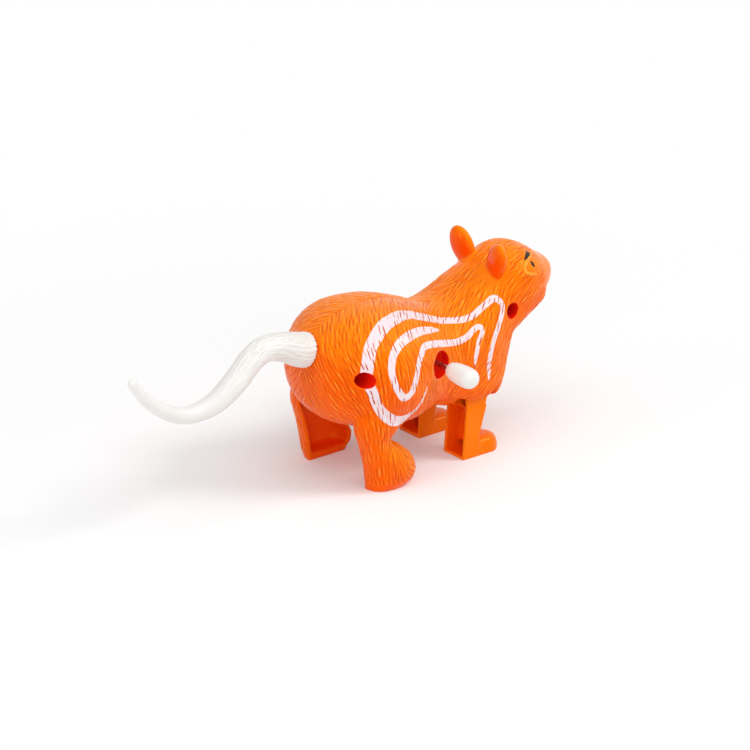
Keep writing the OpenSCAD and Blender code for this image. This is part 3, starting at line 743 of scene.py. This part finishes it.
# Painted light: the red of light bounced inside a leg and shining through its thin wall
LEG_HOLLOW_BOUNCE_RED = (1.0, 0.12, 0.001, 1)
STRIPE_WHITE = (0.84, 0.72, 0.77, 1)
WARM_GLOSS = (1.0, 0.65, 0.1, 1)
BLACK_PAINT = (0.015, 0.012, 0.012, 1)
IVORY = (0.775, 0.755, 0.73, 1)
PALE_IVORY = (0.845, 0.83, 0.80, 1)
# Painted shade in the tail's grooves
IVORY_GROOVE_SHADE = (0.70, 0.65, 0.55, 1)
STEEL = (0.62, 0.61, 0.60, 1)
BLUED_STEEL = (0.32, 0.34, 0.38, 1)
BRASS = (0.78, 0.57, 0.25, 1)
CASE_RED = (0.80, 0.05, 0.004, 1)
GEAR_IVORY = (0.74, 0.72, 0.66, 1)
PAPER = (0.95, 0.95, 0.95, 1)
PALE_PAPER = (0.97, 0.97, 0.97, 1)
WHITE = (1, 1, 1, 1)
PLASTIC_IOR = 1.5
ORANGE_GLOSS = 0.27
# Between these two values lies most of a noise
NOISE_SPAN = (0.3, 0.7)
# Height of the fine grain of a moulding, in m
GRAIN = 0.0002
# Fine lines across a metal, and how its shade and roughness vary along them
BRUSH_SCALE = (400, 4000, 400)
BRUSH_DARK = 0.8
BRUSH_ROUGH = (0.8, 1.2)
NYLON_PALE = 1.12


def orange_plastic(name, painted, hollow_bounce_colour):
    """Glossy moulded orange plastic, painted red inside its hollows as bounced light; the painted kind has
    the shells' stripes and eyes, with painted shade in its grooves, its holes and on the backs of the ears,
    painted light on skin facing up and painted highlights on the lips.
    """
    s = Shader(name)
    tone = s.mix(s.remap(s.noise(45, 3), 0.35, 0.7, 0, 0.4), ORANGE, PALE_ORANGE_AND_PAINTED_LIGHT)
    rough = s.remap(s.noise(600, 2), *NOISE_SPAN, 0.2, 0.3)
    if painted:
        rough = s.math("MULTIPLY", rough, s.remap(s.attribute("smooth"), 0, 1, 1, 0.55))
        groove = s.attribute("groove")
        # Painted light and shade: deeper orange on skin facing away, paler orange on skin facing up and
        # forward
        tone = s.mix(s.remap(s.attribute("pale"), 0, 0.5), PAINTED_SHADE_ORANGE, tone)
        tone = s.mix(s.remap(s.attribute("pale"), 0.5, 1), tone, PALE_ORANGE_AND_PAINTED_LIGHT)
        # Painted shade: red on the back of the ears
        tone = s.mix(s.remap(s.attribute("ear_shade"), 0, 1, 0, 0.7), tone, EAR_SHADE_RED)
        # Painted highlight on the lips of the strokes and the eye's rim
        tone = s.mix(s.remap(s.attribute("lip"), 0.2, 0.9, 0, 0.8), tone, PAINTED_HIGHLIGHT_ORANGE)
        in_stripe = s.remap(s.attribute("stripe"), -0.07, 0.07)
        # Painted shade: the grooves are darker, and inside a stripe they are dark red where the white paint
        # leaves them bare
        tone = s.mix(s.remap(groove, 0.1, 0.8, 0, 0.8), tone, s.mix(in_stripe, GROOVE_SHADE_ORANGE, STRIPE_GROOVE_SHADE))
        chips = s.math("MULTIPLY", s.remap(s.noise(900, 2), 0.55, 0.8), 0.25)
        covered = s.math("SUBTRACT", in_stripe, chips)
        covered = s.math("MULTIPLY", covered, s.remap(groove, 0.35, 0.65, 1, 0))
        tone = s.mix(covered, tone, STRIPE_WHITE)
        tone = s.mix(s.remap(s.attribute("eye"), -0.05, 0.05), tone, BLACK_PAINT)
    # Painted light: the hollow inside is red, as light bounced inside and shining through the wall
    tone = s.mix(s.attribute("hollow"), tone, hollow_bounce_colour)
    if painted:
        # Painted shade in the holes
        tone = s.mix(s.attribute("hole"), tone, HOLE_SHADE_RED)
    s.set(Base_Color=tone, Roughness=rough, IOR=PLASTIC_IOR)
    s.set(Specular_IOR_Level=ORANGE_GLOSS, Specular_Tint=WARM_GLOSS)
    s.bump(s.noise(1500, 2), 0.08, GRAIN)
    return s.material


def white_plastic(name, combed):
    """Ivory moulding; the combed kind has painted shade, a little darker, in its grooves."""
    s = Shader(name)
    tone = s.mix(s.remap(s.noise(60, 3), *NOISE_SPAN), IVORY, PALE_IVORY)
    if combed:
        # Painted shade in the grooves
        tone = s.mix(s.remap(s.attribute("groove"), 0.1, 0.9, 0, 0.7), tone, IVORY_GROOVE_SHADE)
    s.set(Base_Color=tone, Roughness=s.remap(s.noise(500, 2), *NOISE_SPAN, 0.3, 0.42), IOR=PLASTIC_IOR)
    s.bump(s.noise(1200, 2), 0.08, GRAIN)
    return s.material


def metal(name, colour, rough):
    """Metal with fine brushed lines."""
    s = Shader(name)
    place = s.nodes.new("ShaderNodeTexCoord").outputs["Object"]
    lines = s.add("ShaderNodeMapping", Vector=place, Scale=BRUSH_SCALE).outputs["Vector"]
    brushed = s.add("ShaderNodeTexNoise", Vector=lines, Scale=1.0, Detail=3.0).outputs["Fac"]
    dark = tuple(c * BRUSH_DARK for c in colour[:3]) + (1,)
    smoother, rougher = (rough * share for share in BRUSH_ROUGH)
    s.set(Base_Color=s.mix(brushed, dark, colour), Metallic=1.0,
          Roughness=s.remap(brushed, *NOISE_SPAN, smoother, rougher))
    return s.material


def nylon(name, colour):
    """Plain moulded nylon for what lies inside."""
    s = Shader(name)
    pale = tuple(min(1, c * NYLON_PALE) for c in colour[:3]) + (1,)
    tone = s.mix(s.noise(120, 3), colour, pale)
    s.set(Base_Color=tone, Roughness=s.remap(s.noise(700, 2), *NOISE_SPAN, 0.4, 0.55))
    s.bump(s.noise(1500, 2), 0.06, GRAIN)
    return s.material


def dress(obj, material):
    """Gives an object one material."""
    obj.data.materials.clear()
    obj.data.materials.append(material)


# Floor and light
WORLD_LIGHT = 0.42
# How much paler than lit the floor looks, beside the object and away from it, and between which distances
FLOOR_GLOW = (0.12, 1.0)
FLOOR_REACH = (0.08, 0.22)
FLOOR_HALF = 3.0
# Lamps: place and width in m, power in W; and the place that they all light
LAMPS = {
    "overhead": ((-0.2, -0.4, 1.4), 1.6, 9.0),
    "key": ((0.8, -0.7, 1.1), 0.6, 8.0),
    "front": ((-0.8, -1.0, 0.5), 0.8, 3.0),
    "rear": ((-1.2, 0.1, 0.35), 0.4, 2.2),
}
LAMP_AIM = (0.02, 0, 0.03)


def direct_view(nodes, links):
    """1 for what the camera sees straight, in gloss or through glass, and 0 for light."""
    path = nodes.new("ShaderNodeLightPath")
    share = path.outputs["Is Camera Ray"]
    for kind in ("Is Glossy Ray", "Is Transmission Ray"):
        larger = nodes.new("ShaderNodeMath")
        larger.operation = "MAXIMUM"
        links.new(share, larger.inputs[0])
        links.new(path.outputs[kind], larger.inputs[1])
        share = larger.outputs[0]
    return share


def add_world():
    """Even white light, and a white background."""
    world = bpy.data.worlds.new("studio")
    bpy.context.scene.world = world
    world.use_nodes = True
    tree = world.node_tree
    background = tree.nodes["Background"]
    background.inputs["Color"].default_value = WHITE
    strength = tree.nodes.new("ShaderNodeMapRange")
    strength.inputs["To Min"].default_value = WORLD_LIGHT
    strength.inputs["To Max"].default_value = 1.0
    tree.links.new(direct_view(tree.nodes, tree.links), strength.inputs["Value"])
    tree.links.new(strength.outputs["Result"], background.inputs["Strength"])


def floor_paper():
    """White paper, lit beside the object and plain white away from it."""
    s = Shader("floor_paper")
    s.set(Base_Color=s.mix(s.noise(300, 2), PAPER, PALE_PAPER), Roughness=0.9, Specular_IOR_Level=0.0)
    glow = s.add("ShaderNodeEmission", Color=WHITE, Strength=1.0)
    away = s.nodes.new("ShaderNodeVectorMath")
    away.operation = "LENGTH"
    s.links.new(s.nodes.new("ShaderNodeTexCoord").outputs["Object"], away.inputs[0])
    pale = s.remap(away.outputs["Value"], *FLOOR_REACH, *FLOOR_GLOW)
    share = s.math("MULTIPLY", direct_view(s.nodes, s.links), pale)
    both = s.add("ShaderNodeMixShader", Fac=share)
    s.links.new(s.surface.outputs["BSDF"], both.inputs[1])
    s.links.new(glow.outputs["Emission"], both.inputs[2])
    s.links.new(both.outputs["Shader"], s.nodes["Material Output"].inputs["Surface"])
    return s.material


def add_stage():
    """The floor, the world's light and the lamps."""
    floor_mesh = bpy.data.meshes.new("floor")
    corners = [(x * FLOOR_HALF, y * FLOOR_HALF, 0) for x, y in ((-1, -1), (1, -1), (1, 1), (-1, 1))]
    floor_mesh.from_pydata(corners, [], [(0, 1, 2, 3)])
    floor = bpy.data.objects.new("floor", floor_mesh)
    bpy.context.scene.collection.objects.link(floor)
    dress(floor, floor_paper())
    add_world()
    for name, (place, size, power) in LAMPS.items():
        add_lamp(name, place, size, power)


def add_lamp(name, place, size, power):
    """A round lamp that faces the object."""
    data = bpy.data.lights.new(name, "AREA")
    data.shape = "DISK"
    data.size = size
    data.energy = power
    lamp = bpy.data.objects.new(name, data)
    bpy.context.scene.collection.objects.link(lamp)
    lamp.location = place
    lamp.rotation_euler = (Vector(LAMP_AIM) - Vector(place)).to_track_quat("-Z", "Y").to_euler()


add_camera()
add_stage()

painted = orange_plastic("orange_shell", painted=True, hollow_bounce_colour=SHELL_HOLLOW_BOUNCE_RED)
plain_orange = orange_plastic("orange_smooth", painted=False, hollow_bounce_colour=LEG_HOLLOW_BOUNCE_RED)
white = white_plastic("white_moulding", combed=False)
combed_white = white_plastic("white_tail", combed=True)
steel = metal("bright_steel", STEEL, rough=0.28)
spring_steel = metal("blued_spring", BLUED_STEEL, rough=0.3)
brass = metal("brass_metal", BRASS, rough=0.3)
case_nylon = nylon("case_nylon", CASE_RED)
gear_nylon = nylon("gear_nylon", GEAR_IVORY)

left, hair_strokes = shell_skin("left_fur_shell", "left_shell", 1)
right, _ = shell_skin("right_fur_shell", "right_shell", -1, hair_strokes)
for shell in (right, left):
    dress(shell, painted)

tail = soft_copy("tail_moulding", "tail", "chassis", TAIL_VOXEL, TAIL_ROUNDS)
comb_tail(tail)
dress(tail, combed_white)
for side_name in ("right", "left"):
    leg = soft_copy(side_name + "_front_leg", "front_leg_" + side_name, side_name + "_leg",
                    LEG_VOXEL, LEG_ROUNDS)
    mark_hollow(leg)
    dress(leg, plain_orange)

FINISH = {
    white: ["winding_knob"],
    steel: ["shell_screws", "winding_shaft", "cover_screws", "second_arbor", "crank_shaft", "escape_arbor",
            "pallet_arbor"],
    spring_steel: ["mainspring"],
    brass: ["great_wheel", "second_wheel", "crank_pinion", "escape_wheel", "pallet"],
    case_nylon: ["motor_case", "motor_cover"],
    gear_nylon: ["spring_hub", "crank_disc_right", "crank_disc_left", "crank_pin_caps"],
}
for material, names in FINISH.items():
    for node_name in names:
        dress(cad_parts[node_name], material)

bpy.context.scene.view_settings.view_transform = "Standard"
